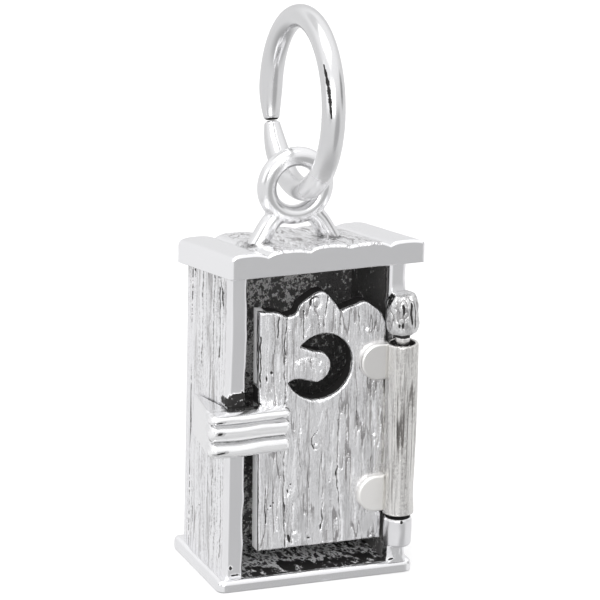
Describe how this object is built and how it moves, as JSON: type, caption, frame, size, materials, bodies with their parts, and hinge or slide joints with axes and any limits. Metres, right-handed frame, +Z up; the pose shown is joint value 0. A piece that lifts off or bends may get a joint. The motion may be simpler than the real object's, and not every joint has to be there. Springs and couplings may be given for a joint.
{
  "type": "silver outhouse charm",
  "caption": "Small cast silver outhouse charm: lean-to plank hut on a base plate, with a crescent-cut door that swings on a pin hinge, a bail and a jump ring.",
  "frame": {"origin": "underside of the base plate, below the middle of the walls", "axes": "+X to the right seen from the front, +Y to the back, +Z up; the door faces -Y"},
  "size_m": [0.0085, 0.0072, 0.0218],
  "materials": {
    "plank_silver": "cast silver with wood-grain lines, darkened inside and in the grooves",
    "satin_silver": "plain filed silver, satin",
    "polished_silver": "polished silver"
  },
  "bodies": {
    "house": {"base_plate": "satin_silver", "left_wall": "plank_silver", "right_wall": "plank_silver", "back_wall": "plank_silver", "left_jamb": "satin_silver", "right_jamb": "satin_silver", "roof_board_1": "plank_silver", "roof_board_2": "plank_silver", "roof_board_3": "plank_silver", "roof_board_4": "plank_silver", "roof_board_5": "plank_silver", "hinge_knuckle_upper": "satin_silver", "hinge_knuckle_lower": "satin_silver", "hinge_foot": "satin_silver", "hinge_pin": "polished_silver", "bail_loop": "polished_silver"},
    "door": {"door_board_left": "plank_silver", "door_board_centre": "plank_silver", "door_board_right": "plank_silver", "hinge_plate_upper": "satin_silver", "hinge_plate_lower": "satin_silver", "hinge_barrel": "plank_silver", "latch_body": "polished_silver", "latch_arm": "polished_silver", "latch_rib_top": "polished_silver", "latch_rib_middle": "polished_silver", "latch_rib_bottom": "polished_silver"},
    "ring": {"jump_ring": "polished_silver"}
  },
  "joints": [
    {"name": "door_hinge", "type": "hinge", "parent": "house", "child": "door", "pos_m": [0.00328, -0.00263, 0], "axis": [0, 0, 1], "range_deg": [0, 180]},
    {"name": "ring_tilt", "type": "hinge", "parent": "house", "child": "ring", "pos_m": [-0.00025, -0.0003, 0.015], "axis": [0, 1, 0], "range_deg": [-116, 103]}
  ]
}
